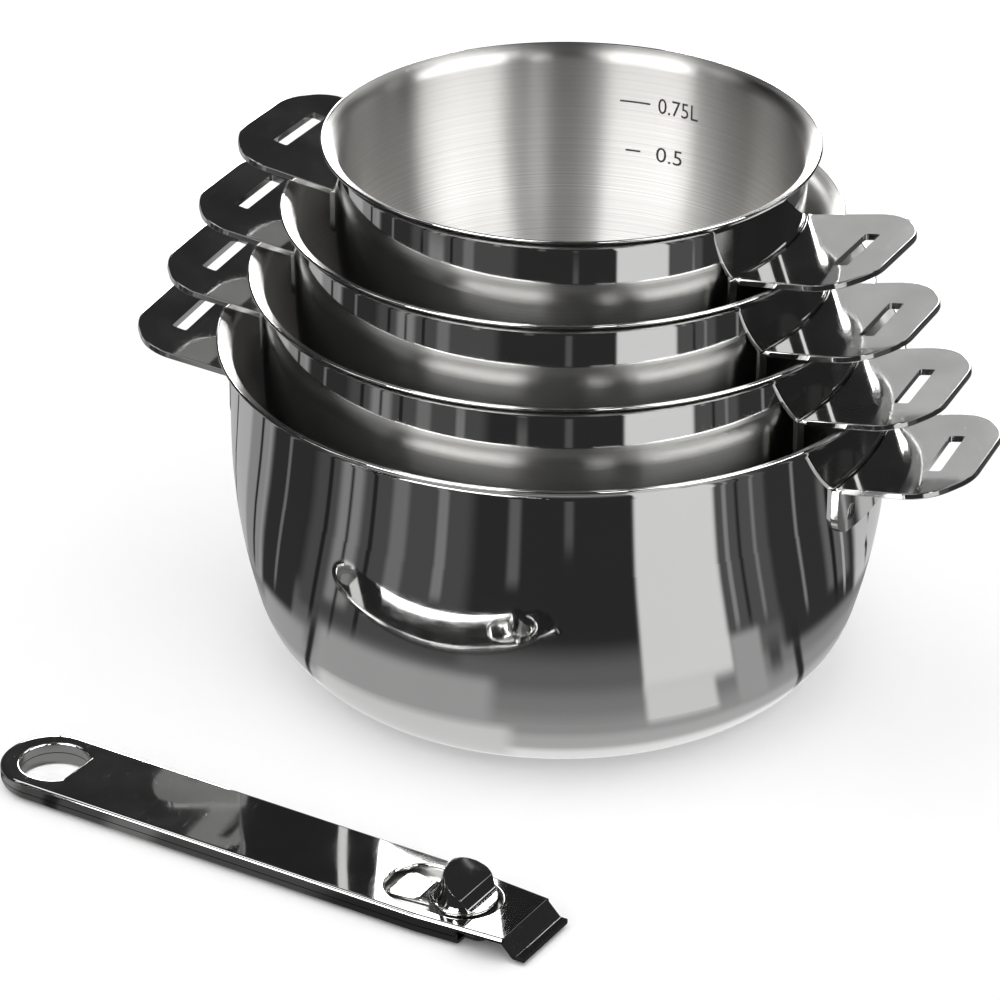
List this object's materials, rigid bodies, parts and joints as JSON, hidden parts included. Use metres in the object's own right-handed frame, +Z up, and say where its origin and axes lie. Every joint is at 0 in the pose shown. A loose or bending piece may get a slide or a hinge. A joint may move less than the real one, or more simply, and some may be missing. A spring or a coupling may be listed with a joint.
{
  "type": "nesting saucepan set",
  "caption": "Nesting stainless steel saucepans with slotted ears that hang in one another, with a separate clip-on handle that has a sprung thumb lock.",
  "frame": {"origin": "centre of the largest pan's base, on the table", "axes": "+Z up; +X along the ears of the largest pan, towards its right ear; the loose handle lies on the -Y side"},
  "size_m": [0.274, 0.2828, 0.171],
  "materials": {
    "pan_steel": "stainless steel sheet, mirror-polished outside and satin with fine turned lines inside",
    "ear_steel": "stainless steel plate, bright polished, rounded edges",
    "handle_steel": "stainless steel pressing, mirror-polished",
    "lock_steel": "solid stainless steel, mirror-polished",
    "inner_steel": "stainless steel, plain mill finish",
    "spring_steel": "drawn spring wire",
    "core_aluminium": "rolled aluminium disc, sealed in the base"
  },
  "bodies": {
    "pan_14": {"pan_14_shell": "pan_steel", "pan_14_base_cup": "pan_steel", "pan_14_base_core": "core_aluminium", "pan_14_ear_left": "ear_steel", "pan_14_ear_right": "ear_steel"},
    "pan_16": {"pan_16_shell": "pan_steel", "pan_16_base_cup": "pan_steel", "pan_16_base_core": "core_aluminium", "pan_16_ear_left": "ear_steel", "pan_16_ear_right": "ear_steel"},
    "pan_18": {"pan_18_shell": "pan_steel", "pan_18_base_cup": "pan_steel", "pan_18_base_core": "core_aluminium", "pan_18_ear_left": "ear_steel", "pan_18_ear_right": "ear_steel"},
    "pan_20": {"pan_20_shell": "pan_steel", "pan_20_base_cup": "pan_steel", "pan_20_base_core": "core_aluminium", "pan_20_ear_left": "ear_steel", "pan_20_ear_right": "ear_steel"},
    "handle": {"handle_top_shell": "handle_steel", "handle_bottom_shell": "handle_steel", "slide_tray": "inner_steel", "spring_stop": "inner_steel", "shell_posts": "inner_steel"},
    "lock": {"lock_plate": "lock_steel", "thumb_knob": "lock_steel", "knob_rivet": "inner_steel", "lock_spring": "spring_steel"}
  },
  "joints": [
    {"name": "lift_pan_18", "type": "slide", "parent": "pan_20", "child": "pan_18", "axis": [0, 0, 1], "range_m": [0, 0.09]},
    {"name": "lift_pan_16", "type": "slide", "parent": "pan_18", "child": "pan_16", "axis": [0, 0, 1], "range_m": [0, 0.08]},
    {"name": "lift_pan_14", "type": "slide", "parent": "pan_16", "child": "pan_14", "axis": [0, 0, 1], "range_m": [0, 0.07]},
    {"name": "lift_handle", "type": "slide", "parent": "pan_20", "child": "handle", "axis": [0, 0, 1], "range_m": [0, 0.15]},
    {"name": "lock_pull", "type": "slide", "parent": "handle", "child": "lock", "axis": [-0.9882, 0.153, 0], "range_m": [0, 0.0085], "stiffness_N_per_m": 400, "springref_m": -0.005}
  ]
}
